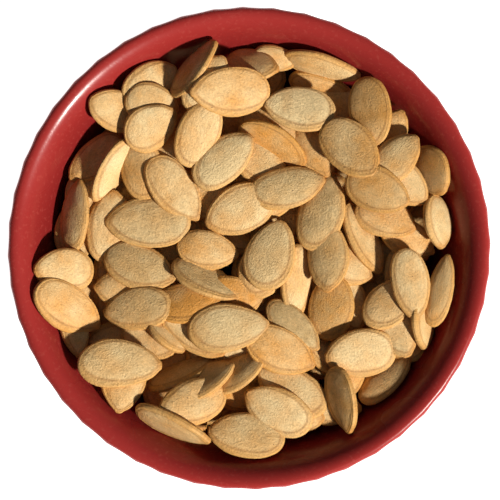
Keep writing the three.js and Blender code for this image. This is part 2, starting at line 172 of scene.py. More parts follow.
def flute_depth(height):
    """None at the foot, deepest on the wall, faint at the lip."""
    up = np.clip((height - FOOT_HEIGHT) / (BOWL_HEIGHT - LIP_RADIUS - FOOT_HEIGHT), 0, 1)
    fade = np.clip((BOWL_HEIGHT - height) / LIP_RADIUS, 0, 1)
    return (FLUTE_DEPTH_WALL * np.sin(np.pi * up) + FLUTE_DEPTH_LIP * up) * fade


def mesh_piece(name, vertices, faces, attributes):
    """A smooth mesh in the scene, from millimetres, with a value or a vector at each vertex."""
    mesh = bpy.data.meshes.new(name)
    mesh.from_pydata((np.asarray(vertices) * MM).tolist(), [], faces)
    for key, values in attributes.items():
        values = np.asarray(values, float)
        kind, field = ("FLOAT_VECTOR", "vector") if values.ndim == 2 else ("FLOAT", "value")
        mesh.attributes.new(key, kind, "POINT").data.foreach_set(field, values.ravel())
    mesh.shade_smooth()
    piece = bpy.data.objects.new(name, mesh)
    bpy.context.scene.collection.objects.link(piece)
    return piece


def make_bowl():
    """The turned section with its flutes. Its arris_and_shade value is 1 on a ridge and below 0 where glaze
    pools in the flutes and where shade is painted down the inside.
    """
    profile, outside_rows = bowl_profile()
    columns = FLUTES * STEPS_PER_FLUTE
    turn = np.arange(columns) / STEPS_PER_FLUTE
    flute = np.floor(turn)
    # Each flute was cut by hand, so its depth and its two ridges are a little off.
    share = turn - flute
    bottom = np.sqrt(np.sin(np.pi * share) ** 2 + FLUTE_ARRIS**2) - FLUTE_ARRIS
    channel = bottom / (np.sqrt(1 + FLUTE_ARRIS**2) - FLUTE_ARRIS)
    channel = channel * (1 + FLUTE_UNEVEN * (draw(flute, 3) - 0.5))
    strayed = (1 - share) * draw(flute, 4) + share * draw((flute + 1) % FLUTES, 4) - 0.5
    angle = FLUTE_PHASE + (turn + RIDGE_WANDER * strayed) * 2 * np.pi / FLUTES

    inner_rows = len(profile) - 2
    radius, height = profile[1:-1, 0, None], profile[1:-1, 1, None]
    outside = (np.arange(1, len(profile) - 1) < outside_rows)[:, None]
    depth = flute_depth(height) * outside
    fluted = radius - depth * channel
    rings = np.stack(
        [fluted * np.cos(angle), fluted * np.sin(angle), np.broadcast_to(height, fluted.shape)], axis=-1
    ).reshape(-1, 3)
    vertices = np.vstack([rings, [0, 0, FOOT_RECESS], [0, 0, FLOOR_TOP]])
    # Inside, shade is painted down the flare and just below it, with the colour of pooled glaze.
    past_lip = (RIM_RADIUS - LIP_RADIUS - radius) / FLARE_WIDTH
    inside_shade = INSIDE_PAINTED_SHADE * np.clip(past_lip, 0, 2) * ~outside
    arris_and_shade = np.append((depth / FLUTE_DEPTH_WALL * (1 - 2 * channel) - inside_shade).ravel(), [0, 0])

    under_middle, floor_middle = len(rings), len(rings) + 1
    faces = []
    for column in range(columns):
        beside = (column + 1) % columns
        faces.append((under_middle, beside, column))
        for row in range(inner_rows - 1):
            low, high = row * columns, (row + 1) * columns
            faces.append((low + column, low + beside, high + beside, high + column))
        last = (inner_rows - 1) * columns
        faces.append((last + column, last + beside, floor_middle))
    return mesh_piece("bowl_glazed", vertices, faces, {"arris_and_shade": arris_and_shade})


def linear(hex_colour):
    """A linear colour from an sRGB hex value."""
    srgb = np.array([int(hex_colour[i : i + 2], 16) / 255 for i in (1, 3, 5)])
    return (*np.where(srgb <= 0.04045, srgb / 12.92, ((srgb + 0.055) / 1.055) ** 2.4).tolist(), 1.0)


def add(tree, kind, inputs=None, **settings):
    """Adds a node with its settings. An input takes a constant, a socket, or a node's live output."""
    new = tree.nodes.new(kind)
    for name, value in settings.items():
        setattr(new, name, value)
    sockets = {socket.identifier: socket for socket in new.inputs}
    for name, value in (inputs or {}).items():
        if isinstance(value, bpy.types.Node):
            value = next(socket for socket in value.outputs if socket.enabled)
        if isinstance(value, bpy.types.NodeSocket):
            tree.links.new(value, sockets[name])
        else:
            sockets[name].default_value = value
    return new


def new_material(name):
    """An empty material and its node tree."""
    material = bpy.data.materials.new(name)
    material.use_nodes = True
    material.node_tree.nodes.clear()
    return material, material.node_tree


def pattern_scale(size_mm):
    """Scale of a noise on Object coordinates whose features are this many millimetres across."""
    return 1000 / size_mm


def make_glaze():
    """Glossy iron-red stoneware glaze. It breaks thin and brown on the ridges and pools dark in the flutes,
    shade is painted down the inside as darker glaze, its colour drifts over the wall, and fine pits and
    ripples break up its highlights. Its IOR is below a glaze's usual 1.5, because its reflections look that
    weak."""
    material, tree = new_material("red_stoneware_glaze")
    place = add(tree, "ShaderNodeTexCoord").outputs["Object"]
    drift = add(tree, "ShaderNodeTexNoise", {
        "Vector": place, "Scale": pattern_scale(DRIFT_SIZE), "Detail": 3,
    })
    speck = add(tree, "ShaderNodeTexNoise", {
        "Vector": place, "Scale": pattern_scale(SPECK_SIZE), "Detail": 3,
    })
    arris_and_shade = add(tree, "ShaderNodeAttribute", attribute_name="arris_and_shade").outputs["Fac"]
    thin = add(tree, "ShaderNodeMapRange", {"Value": arris_and_shade, "From Min": 0.15, "From Max": 0.9})
    # Real pooling in the flutes, and painted shade down the inside.
    pooled_and_shaded = add(tree, "ShaderNodeMapRange", {"Value": arris_and_shade, "From Min": -0.2, "From Max": -1.1})
    colour = add(tree, "ShaderNodeMix", {
        "Factor_Float": drift, "A_Color": linear(GLAZE_DEEP), "B_Color": linear(GLAZE_RED),
    }, data_type="RGBA")
    colour = add(tree, "ShaderNodeMix", {
        "Factor_Float": pooled_and_shaded, "A_Color": colour, "B_Color": linear(GLAZE_POOLED_AND_SHADED),
    }, data_type="RGBA")
    colour = add(tree, "ShaderNodeMix", {
        "Factor_Float": thin, "A_Color": colour, "B_Color": linear(GLAZE_THIN),
    }, data_type="RGBA")
    dots = add(tree, "ShaderNodeMapRange", {
        "Value": speck, "From Min": 0.56, "From Max": 0.72, "To Max": 0.25,
    })
    colour = add(tree, "ShaderNodeMix", {
        "Factor_Float": dots, "A_Color": colour, "B_Color": linear(GLAZE_SPECK),
    }, data_type="RGBA")
    gloss = add(tree, "ShaderNodeMapRange", {"Value": drift, "To Min": 0.18, "To Max": 0.34})
    ripple = add(tree, "ShaderNodeTexNoise", {
        "Vector": place, "Scale": pattern_scale(RIPPLE_SIZE), "Detail": 2,
    })
    pits = add(tree, "ShaderNodeTexNoise", {"Vector": place, "Scale": pattern_scale(PIT_SIZE), "Detail": 2})
    rippled = add(tree, "ShaderNodeBump", {"Height": ripple, "Strength": 0.35, "Distance": 0.1 * MM})
    pitted = add(tree, "ShaderNodeBump", {
        "Height": pits, "Strength": 0.4, "Distance": 0.03 * MM, "Normal": rippled,
    })
    shader = add(tree, "ShaderNodeBsdfPrincipled", {
        "Base Color": colour, "Roughness": gloss, "Normal": pitted, "IOR": 1.33,
    })
    add(tree, "ShaderNodeOutputMaterial", {"Surface": shader})
    return material


def make_bare_clay():
    """Unglazed fired stoneware. It is matt and buff, with a sandy grain."""
    material, tree = new_material("bare_stoneware_clay")
    place = add(tree, "ShaderNodeTexCoord").outputs["Object"]
    grain = add(tree, "ShaderNodeTexNoise", {
        "Vector": place, "Scale": pattern_scale(SAND_SIZE), "Detail": 4,
    })
    colour = add(tree, "ShaderNodeMix", {
        "Factor_Float": grain, "A_Color": linear(CLAY_DARK), "B_Color": linear(CLAY_PALE),
    }, data_type="RGBA")
    rough = add(tree, "ShaderNodeBump", {"Height": grain, "Strength": 0.6, "Distance": 0.08 * MM})
    shader = add(tree, "ShaderNodeBsdfPrincipled", {
        "Base Color": colour, "Roughness": 0.85, "Normal": rough,
    })
    add(tree, "ShaderNodeOutputMaterial", {"Surface": shader})
    return material


bowl = make_bowl()
bowl.data.materials.append(make_glaze())
bowl.data.materials.append(make_bare_clay())
for face in bowl.data.polygons:
    if face.center.z < BARE_HEIGHT * MM:
        face.material_index = 1
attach(bowl, "root")
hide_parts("bowl")


# ---- How the heap lies --------------------------------------------------------------------------
# The seeds were poured in loose: a bed of seeds fills the bowl, and those that show lie on it, most
# of them on a face, some wedged in on an edge. They are laid one by one, each on what is under it.

# Lowest first: the middle's place on a picture of the bowl from above in which the rim is RIM_PX wide
# and centred on CENTRE_PX (x right, y down), the tip's direction in degrees counterclockwise, length
# and width in millimetres, the tilt in degrees with the direction that the upper face leans towards,
# then how golden the roast is and how dull and grey the shell, both from 0 to 1. These last two are
# partly painted shade: seeds whose faces turn away from the light were given browner and greyer shells.
RIM_PX = 484
CENTRE_PX = (249, 248)
SHOWN_SEEDS = [
    (70, 234, 97, 15, 9, 28, 7, 0.5, 0.5),
    (85, 184, 68, 16, 9, 28, -18, 0.4, 0.4),
    (93, 158, 222, 17, 9, 14, -40, 0.5, 0.4),
    (122, 290, 175, 15.5, 10.5, 8, 200, 0.5, 0.3),
    (112, 343, 180, 15.5, 10, 6, 90, 0.4, 0.5),
    (73, 326, -83, 17, 7.5, 10, 60, 0.3, 0.7),
    (208, 250, -10, 16, 10, 8, -60, 0.6, 0.2),
    (407, 268, 85, 16.5, 10.5, 8, 120, 0.4, 0.4),
    (347, 303, -68, 16.5, 10.5, 8, 10, 0.4, 0.5),
    (423, 322, -87, 14.5, 10, 60, 3, 0.4, 0.4),
    (335, 409, 0, 14.5, 9, 10, -90, 0.4, 0.6),
    (298, 419, 4, 14, 9, 12, -100, 0.6, 0.4),
    (260, 162, -35, 16.5, 10.5, 8, -40, 0.5, 0.5),
    (215, 200, -20, 16.5, 10.5, 6, 150, 0.5, 0.2),
    (166, 148, 20, 16.5, 10.5, 8, 0, 0.6, 0.2),
    (345, 108, -30, 16.5, 10.5, 8, 140, 0.5, 0.4),
    (390, 133, 60, 14, 8.5, 20, -30, 0.7, 0.2),
    (148, 342, -22, 14.5, 9, 14, 120, 0.5, 0.3),
    (233, 394, -35, 15, 9, 10, -60, 0.8, 0.0),
    (272, 130, -30, 17.5, 10.5, 8, -40, 0.5, 0.3),
    (316, 150, -62, 15.5, 9.5, 26, 140, 0.7, 0.3),
    (325, 354, -50, 15, 9.5, 40, 40, 0.5, 0.4),
    (347, 368, -80, 15.5, 10, 15, 10, 0.6, 0.3),
    (236, 342, 5, 16.5, 10, 10, -80, 0.3, 0.4),
    (234, 297, -8, 15.5, 10.5, 12, -60, 0.8, 0.1),
    (266, 262, 65, 19.5, 11.5, 10, -160, 0.6, 0.3),
    (123, 380, -100, 17.5, 11.5, 14, -60, 0.6, 0.3),
    (291, 391, 150, 20, 11.5, 10, -60, 0.4, 0.3),
    (276, 57, -8, 12, 7, 12, -90, 0.5, 0.2),
    (251, 65, -14, 15.5, 9.5, 31, 125, 0.5, 0.5),
    (194, 67, 52, 18, 11, 62, 142, 0.4, 0.3),
    (207, 83, 58, 16.5, 10.5, 24, 148, 0.4, 0.4),
    (113, 109, 155, 15, 10.5, 20, -40, 0.4, 0.4),
    (150, 82, 28, 16, 10.5, 14, -40, 0.4, 0.2),
    (141, 166, 100, 17, 11, 6, -40, 0.6, 0.4),
    (432, 171, -48, 14, 11, 38, 185, 0.6, 0.4),
    (404, 183, -42, 15.5, 10.5, 10, 140, 0.4, 0.5),
    (396, 158, 48, 16, 10, 14, -42, 0.4, 0.3),
    (397, 330, -65, 15.5, 10.5, 10, -40, 0.3, 0.2),
    (321, 84, -13, 16.5, 7.8, 45, -104, 0.7, 0.1),
    (323, 65, -16, 20.5, 9, 54, -106, 0.5, 0.3),
    (274, 143, -30, 19.5, 10.2, 40, -120, 0.8, 0.1),
    (199, 131, 70, 19, 11, 6, -40, 0.4, 0.2),
    (152, 103, -12, 14, 10.5, 10, 60, 0.4, 0.4),
    (151, 126, 38, 15, 11.5, 8, -40, 0.3, 0.3),
    (111, 170, 237, 18.5, 10.5, 52, -32, 0.2, 0.2),
    (74, 214, 84, 18.5, 8.4, 36, 174, 0.4, 0.6),
    (62, 270, 180, 16.5, 11, 22, -20, 0.4, 0.0),
    (166, 337, -40, 12, 7, 50, 48, 0.4, 0.4),
    (195, 331, -38, 19.5, 11, 8, -40, 0.4, 0.4),
    (189, 302, 8, 18, 10.5, 10, 140, 1.0, 0.0),
    (136, 309, 188, 18.5, 11, 12, 140, 0.4, 0.8),
    (109, 226, 83, 19, 12, 12, -30, 0.4, 0.1),
    (140, 267, -22, 19.5, 11.5, 6, 140, 0.3, 0.8),
    (67, 308, -29, 20.5, 11.5, 26, -15, 0.6, 0.0),
    (120, 364, -1, 21.5, 12, 6, -40, 0.3, 0.4),
    (173, 426, -25, 21, 11, 64, -115, 0.4, 0.3),
    (191, 403, 200, 18.5, 11.5, 10, -40, 0.5, 0.2),
    (203, 381, 30, 18, 10.5, 45, 120, 0.4, 0.5),
    (181, 375, 23, 18.5, 11, 64, 113, 0.4, 0.6),
    (238, 372, 32, 16.5, 10, 40, 122, 0.4, 0.5),
    (245, 436, 173, 20, 11.5, 10, -60, 0.4, 0.5),
    (277, 411, 152, 19, 11.5, 10, -40, 0.3, 0.1),
    (332, 306, 82, 17.5, 11.5, 12, 150, 1.0, 0.8),
    (345, 264, -28, 16.5, 10, 8, -60, 0.5, 0.3),
    (328, 259, -88, 17.5, 10.5, 10, 160, 0.4, 0.8),
    (296, 284, -93, 20, 9, 32, -3, 0.4, 0.1),
    (268, 198, 8, 15, 10.5, 6, -90, 0.5, 0.4),
    (271, 254, 73, 18.5, 12.5, 6, 140, 0.2, 0.6),
    (322, 212, 74, 20, 11.5, 12, 150, 0.3, 0.8),
    (294, 327, -43, 17.5, 8.6, 18, 47, 0.1, 1.0),
    (281, 351, -27, 19.5, 11.5, 8, -60, 0.7, 0.2),
    (229, 328, 5, 21, 12, 6, -40, 0.2, 0.5),
    (206, 280, -28, 19, 11, 46, 62, 0.1, 0.8),
    (146, 222, 180, 22, 13, 4, 140, 0.3, 0.5),
    (174, 189, -52, 20, 11, 6, -40, 0.3, 0.3),
    (224, 159, 42, 19, 11, 8, 140, 0.0, 0.35),
    (238, 210, 205, 18.5, 12.5, 8, -40, 0.3, 0.2),
    (288, 187, 13, 19.5, 10.5, 8, 140, 0.2, 0.75),
    (409, 238, -28, 16, 9.5, 10, -60, 0.6, 0.1),
    (387, 217, -20, 16.5, 10.5, 10, -60, 0.6, 0.2),
    (378, 190, -21, 17.2, 11.5, 6, -60, 0.7, 0.4),
    (394, 301, 38, 18, 10.5, 10, -60, 0.4, 0.3),
    (411, 285, -82, 18.5, 10, 8, -40, 0.3, 0.1),
    (364, 239, -65, 20, 9.5, 42, 25, 0.4, 0.3),
    (441, 290, 79, 19, 6.8, 12, 170, 0.5, 0.3),
    (360, 354, 188, 18.5, 12.5, 8, -40, 0.2, 0.2),
    (387, 379, 44, 17.5, 8.5, 31, 132, 0.4, 0.5),
    (342, 401, -82, 17.5, 10.4, 50, 196, 0.5, 0.4),
    (438, 222, -81, 14, 9.5, 48, 9, 0.2, 0.3),
    (371, 112, -78, 18.5, 11, 10, 150, 0.8, 0.5),
    (351, 149, -45, 18.5, 12.4, 6, -60, 0.5, 0.4),
    (299, 108, 172, 18.5, 11.5, 8, -40, 0.0, 0.1),
    (229, 91, 180, 21, 12.5, 6, -60, 0.5, 0.2),
]

SEED_THICKNESS = 3.1
EDGE_SHARE = 0.1  # a seed's thickness at its edge, as a share of that in its middle
SEED_TAPER = 0.16  # how much narrower the tip's half is than the round half
SEED_POINT = 0.3  # how pointed the tip is
SEED_SINK = 0.8  # how far a seed settles into what it lies on
HEAP_CLEARANCE = 0.35  # between the heap and the bowl
BED_TOP = 42.0
BED_FALL = 9.0  # how much lower the bed is at the rim's radius
BED_SEEDS = 64
BED_RADIUS = 44.0
BED_SAG = 2.5  # how far the bed's seeds sink into one another
BED_LENGTH = (15.5, 19.5)
BED_SLENDER = (0.56, 0.64)  # width over length
BED_TILT = (0, 22)
BED_ROAST = (0.3, 0.8)
BED_DULL = (0, 0.6)
LYING_TILT = 30.0  # degrees: a seed that is tilted more is wedged in on its edge
FOLLOW_SHARE = 0.6  # how far a lying seed's own tilt gives way to the slope under it
FOLLOW_SLOPE = 24.0
CONTACT_SHARE = 0.96  # share of a lying seed's lower face that clears the seeds under it
STANDING_RISE = 4.2  # a wedged seed's upper edge over the mean height of the heap round it
STANDING_LEDGE = 2.6  # how far over a wedged seed's middle the next seed can rest

CELL = 0.6
GRID_REACH = int(np.ceil(RIM_RADIUS / CELL))
FACE_STEPS_ALONG = 34
FACE_STEPS_ACROSS = 28

axis = np.arange(-GRID_REACH, GRID_REACH + 1) * CELL
grid_radius = np.hypot(axis[None, :], axis[:, None])


def wall_height(radius):
    """Height of the bowl's inner face over a radius."""
    profile, outside_rows = bowl_profile()
    inner = profile[outside_rows:][::-1]
    return np.interp(radius, inner[:, 0], inner[:, 1])


wall_gap = HEAP_CLEARANCE / np.cos(WALL_LEAN)
walls = wall_height(grid_radius + wall_gap)
tops = BED_TOP - BED_FALL * (grid_radius / RIM_RADIUS) ** 2


def outline(length, width, angle, point=SEED_POINT):
    """A point of a seed's outline, from its middle towards the tip and sideways."""
    along, side = np.cos(angle), np.sin(angle)
    pointed = np.abs(side) ** (point * (1 + along) / 2)
    return length / 2 * along, width / 2 * side * pointed * (1 - SEED_TAPER * along)


def leaning(tilt, lean):
    """The direction out of a face that is tilted and leans towards a direction, both in degrees."""
    tilt, lean = np.radians(tilt), np.radians(lean)
    return np.array([np.sin(tilt) * np.cos(lean), np.sin(tilt) * np.sin(lean), np.cos(tilt)])


def seed_axes(heading, up):
    """The directions towards a seed's tip, across it and out of its upper face, as rows."""
    tip = np.array([np.cos(heading), np.sin(heading), 0])
    tip = tip - up * (tip @ up)
    tip = tip / np.linalg.norm(tip)
    return np.array([tip, np.cross(up, tip), up])


def face_points(seed, up, side):
    """Points over a seed's upper or lower face from its middle, the cell each is over, and its place
    along and across the seed."""
    angle = np.pi * np.arange(FACE_STEPS_ALONG + 1)[:, None] / FACE_STEPS_ALONG
    share = 2 * np.arange(FACE_STEPS_ACROSS + 1)[None, :] / FACE_STEPS_ACROSS - 1
    along, half = outline(seed["length"], seed["width"], angle)
    dome = np.maximum((1 - share**2) * np.sin(angle) ** 2, EDGE_SHARE)
    local = np.stack([along + 0 * share, half * share, side * SEED_THICKNESS / 2 * dome], axis=-1)
    points = local.reshape(-1, 3) @ seed_axes(seed["heading"], up)
    column = np.floor((seed["x"] + points[:, 0]) / CELL + 0.5).astype(int) + GRID_REACH
    row = np.floor((seed["y"] + points[:, 1]) / CELL + 0.5).astype(int) + GRID_REACH
    inside = (np.minimum(column, row) >= 0) & (np.maximum(column, row) < len(axis))
    flat = local.reshape(-1, 3)[inside]
    return (row[inside], column[inside]), points[inside, 2], flat[:, 0], flat[:, 1]


def follow_slope(seed, ground):
    """Turns a lying seed towards the slope of what is under it."""
    level = np.array([0.0, 0.0, 1.0])
    cells, _, along, sideways = face_points(seed, level, -1)
    under = ground[cells]
    middle = along - along.mean()
    tip, across, _ = seed_axes(seed["heading"], level)
    slope = tip * (middle * under).mean() / (middle**2).mean()
    slope = slope + across * (sideways * under).mean() / (sideways**2).mean()
    steepest = np.tan(np.radians(FOLLOW_SLOPE))
    slope = slope * min(1, steepest / max(np.linalg.norm(slope), 1e-9))
    square = np.array([-slope[0], -slope[1], 1])
    mixed = seed["up"] + FOLLOW_SHARE * (square / np.linalg.norm(square) - seed["up"])
    seed["up"] = mixed / np.linalg.norm(mixed)


def settle(seed, ceiling=np.inf):
    """Lifts a seed off the wall and raises the heap by it."""
    cells, offset, _, _ = face_points(seed, seed["up"], -1)
    seed["z"] = max(seed["z"], (walls[cells] - offset).max())
    cells, offset, _, _ = face_points(seed, seed["up"], 1)
    np.maximum.at(tops, cells, np.minimum(seed["z"] + offset, seed["z"] + ceiling))


def make_seed(x, y, heading, length, width, tilt, lean, roast, grey_and_shade):
    """What is known of a seed before it is laid. Its height is set by what is under it."""
    return {
        "x": x, "y": y, "heading": np.radians(heading), "length": length, "width": width,
        "tilt": tilt, "up": leaning(tilt, lean), "roast": roast, "grey_and_shade": grey_and_shade,
    }


def pick(span, index, channel):
    """A repeatable value between two others."""
    return span[0] + (span[1] - span[0]) * draw(index, channel)


def lay_bed():
    """The seeds under those that show, spread by a spiral and sunk into one another."""
    seeds = []
    golden_angle = np.pi * (3 - np.sqrt(5))
    for i in range(BED_SEEDS):
        radius = BED_RADIUS * np.sqrt((i + 0.5) / BED_SEEDS)
        length = pick(BED_LENGTH, i, 1)
        seed = make_seed(
            radius * np.cos(i * golden_angle), radius * np.sin(i * golden_angle), pick((0, 360), i, 3),
            length, length * pick(BED_SLENDER, i, 2), pick(BED_TILT, i, 4), pick((0, 360), i, 5),
            pick(BED_ROAST, i, 6), pick(BED_DULL, i, 7),
        )
        seed["z"] = BED_TOP - BED_FALL * (radius / RIM_RADIUS) ** 2
        settle(seed)
        seed["z"] -= BED_SAG
        seeds.append(seed)
    return seeds


def lay_shown():
    """The seeds that show. A lying one follows what is under it, and a wedged one stands out of it."""
    seeds = []
    mm_per_px = 2 * RIM_RADIUS / RIM_PX
    for px, py, *rest in SHOWN_SEEDS:
        seed = make_seed((px - CENTRE_PX[0]) * mm_per_px, (CENTRE_PX[1] - py) * mm_per_px, *rest)
        if seed["tilt"] > LYING_TILT:
            cells, _, _, _ = face_points(seed, seed["up"], -1)
            rise = STANDING_RISE - seed["width"] / 2 * np.sin(np.radians(seed["tilt"]))
            seed["z"] = tops[cells].mean() + rise
            settle(seed, STANDING_LEDGE)
        else:
            ground = np.maximum(tops, walls)
            follow_slope(seed, ground)
            cells, offset, _, _ = face_points(seed, seed["up"], -1)
            contacts = np.sort(ground[cells] - offset)
            seed["z"] = contacts[int(CONTACT_SHARE * (len(contacts) - 1))] - SEED_SINK
            settle(seed)
        seeds.append(seed)
    return seeds


bed = lay_bed()
shown = lay_shown()


# ---- Seeds --------------------------------------------------------------------------------------
# Whole roasted pumpkin seeds: a flat almond-shaped shell of two woody halves that meet in a seam,
# with a thick raised margin round each domed face and a blunt tip. No two are quite alike.

SHELL_LENGTH = 18.5
SHELL_WIDTH = 11.2
BLUNT_FROM = 0.95  # the tip is cut short beyond this share of the half length
BLUNT_KEEP = 0.3
WIDE_SIDE = np.radians(240)  # the way that most seeds' wide margin looks
WIDE_SPREAD = np.radians(60)

# The section from the seam over the edge, up the sloping margin with its two fine ridges, then over the
# low dome: how far in, as a share of the margin's width and past 1 as millimetres inside it plus 1, then
# the share of the margin's rise, of the ridges' height and of the dome's.
SHELL_SECTION = [
    (0.06, 0.0, 0.0, 0.0), (0.0, 0.14, 0.0, 0.0), (0.07, 0.34, 0.0, 0.0), (0.2, 0.54, 0.6, 0.0),
    (0.36, 0.66, 0.9, 0.0), (0.5, 0.72, 0.0, 0.0), (0.66, 0.84, 0.8, 0.0), (0.86, 0.97, 0.3, 0.0),
    (1.1, 1.0, 0.0, 0.1), (1.7, 1.0, 0.0, 0.4), (2.6, 1.0, 0.0, 0.72), (3.8, 1.0, 0.0, 0.94),
]
# The same for the plainer seeds of the bed.
BED_SECTION = [
    (0.0, 0.0, 0.0, 0.0), (0.2, 0.5, 0.6, 0.0), (1.0, 1.0, 0.0, 0.1), (2.1, 1.0, 0.0, 0.6),
    (3.6, 1.0, 0.0, 1.0),
]
UNDERSIDE_STEP = 2  # the underside has every second ring of the section
MARGIN_RISE = 0.95
RIDGE_HEIGHT = 0.14
DOME_HEIGHT = 0.6
MARGIN_WIDTH = 1.2
MARGIN_SWING = 0.45  # how much wider the margin is on its wide side
MARGIN_WAVER = 0.12
CREASE_PLACE = 0.9  # of the margin's width in from the edge
SEAM_INSET = -0.2  # marks the seam in the shell's attribute
SHELL_POINT = 0.42  # how pointed a shell's tip is
NIB_PLACE = 0.9  # the shoulders before the tip, as a share of the half length
NIB_SPREAD = 0.06
NIB_PINCH = 0.16
OUTLINE_WAVER = 0.03
DOME_FALL = 0.25  # how much lower the dome is towards the tip
BOW = 0.45  # the most that a seed's ends bend up or down
BOW_LEVEL = 0.3  # keeps the middle of a bowed seed near its place
BEND = 0.35  # the most that they bend sideways
TWIST = 0.012

# How much the forms differ.
RIDGE_SPREAD = 0.7
RIDGE_WAVER = 0.5
DOME_SPREAD = 0.2
POINT_SPREAD = 0.14
BLUNT_SPREAD = 0.02

SHELL_FORMS = 12
SHELL_SIDES = 48
BED_SIDES = 20
DENT_DEPTH = 0.5
DENT_SIZE = 5.0

SHELL_CREAM = "#E7CA94"
SHELL_GOLD = "#D89641"
# Partly painted shade: the grey also darkens seeds that face away from the light.
SHELL_GREY_AND_SHADE = "#BD9A62"
# Partly painted shade: the margin's own golden tint, darkened for the shade on its slope.
SHELL_MARGIN_AND_SHADE = "#CE9648"
# Painted shade along the crease, and the real dark line of the seam.
SHELL_SEAM_AND_CREASE_SHADE = "#94602A"
SHELL_TIP = "#B67A34"
SHELL_SPOT = "#4A2A12"

# How wide the shell's patterns are. The real grain is finer, and would not show.
BLOTCH_SIZE = 6.0
CLOUD_SIZE = 2.2
GRAIN_SIZE = 0.45
FIBRE_SIZE = 1.1
SPOT_SIZE = 0.9
PATTERN_STEP = 7.3  # how much further on in the patterns each seed is cut from


def make_shell(name, form, sides, section, collection):
    """One seed at the origin, its tip towards +X, with its own bow, twist, margin and dome. Its margin
    is widest in the direction that its form's number gives."""
    own = [2 * float(draw(form, channel)) - 1 for channel in range(20, 28)]
    own_ridge, own_cut, own_dome, own_wave, own_bow, own_point, own_bend, own_turn = own
    angle = 2 * np.pi * (np.arange(sides) + 0.5) / sides
    wide_side = np.cos(angle - 2 * np.pi * form / SHELL_FORMS)
    margin_waver = MARGIN_WAVER * np.sin(3 * angle + 4 * own_wave)
    margin = MARGIN_WIDTH * (1 + MARGIN_SWING * wide_side + margin_waver)
    ridge_waver = RIDGE_WAVER * np.sin(2 * angle + 5 * own_turn)
    ridge = RIDGE_HEIGHT * np.clip(1 + RIDGE_SPREAD * own_ridge + ridge_waver, 0, None)
    dome = DOME_HEIGHT * (1 + DOME_SPREAD * own_dome)
    point = SHELL_POINT + POINT_SPREAD * own_point
    limit = BLUNT_FROM + BLUNT_SPREAD * own_cut
    rings, insets, heights = [], [], []
    for inset, edge_share, ridge_share, dome_share in section:
        within = margin * min(inset, 1) + max(inset - 1, 0)
        along, half = outline(SHELL_LENGTH - 2 * within, SHELL_WIDTH - 2 * within, angle, point)
        reach = SHELL_LENGTH / 2 - within
        share = along / reach
        along = along - np.clip(share - limit, 0, None) * (1 - BLUNT_KEEP) * reach
        half = half * (1 - NIB_PINCH * np.exp(-(((share - NIB_PLACE) / NIB_SPREAD) ** 2)))
        half = half * (1 + OUTLINE_WAVER * np.sin(3 * angle + 6 * own_wave))
        fall = 1 - DOME_FALL * np.clip(share, 0, 1) ** 2
        rings.append(np.stack([along, half], axis=-1))
        insets.append(np.full(sides, inset if edge_share else SEAM_INSET))
        heights.append(MARGIN_RISE * edge_share + ridge * ridge_share + dome * dome_share * fall)
    upper = np.hstack([np.vstack(rings), np.concatenate(heights)[:, None]])
    kept = list(range(1, len(section), UNDERSIDE_STEP))
    lower = np.vstack([upper[level * sides : (level + 1) * sides] for level in kept]) * [1, 1, -1]
    vertices = np.vstack([upper, lower])
    under_insets = np.concatenate([insets[level] for level in kept])
    inset = np.concatenate([*insets, under_insets])
    shell = np.column_stack([vertices[:, :2], inset])
    far = (vertices[:, 0] / (SHELL_LENGTH / 2)) ** 2 - BOW_LEVEL
    vertices[:, 2] += BOW * own_bow * far + TWIST * own_point * vertices[:, 0] * vertices[:, 1]
    vertices[:, 1] += BEND * own_bend * far

    faces = []
    over = [level * sides for level in range(len(section))]
    beneath = [0] + [(len(section) + level) * sides for level in range(len(kept))]
    for rows, flip in ((over, False), (beneath, True)):
        quads = []
        for outer, inner in zip(rows[:-1], rows[1:]):
            for j in range(sides):
                beside = (j + 1) % sides
                quads.append((outer + j, outer + beside, inner + beside, inner + j))
        last = rows[-1]
        for j in range(sides // 2 - 1):
            quads.append((last + j, last + j + 1, last + sides - 2 - j, last + sides - 1 - j))
        faces += [quad[::-1] if flip else quad for quad in quads]
    piece = mesh_piece(name, vertices, faces, {"shell": shell})
    bpy.context.scene.collection.objects.unlink(piece)
    collection.objects.link(piece)


def shell_kit(name, sides, section):
    """A collection of all forms of the shell, with a number of sides and a section."""
    kit = bpy.data.collections.new(name)
    for form in range(SHELL_FORMS):
        make_shell(f"{name}_{form}", form, sides, section, kit)
    return kit


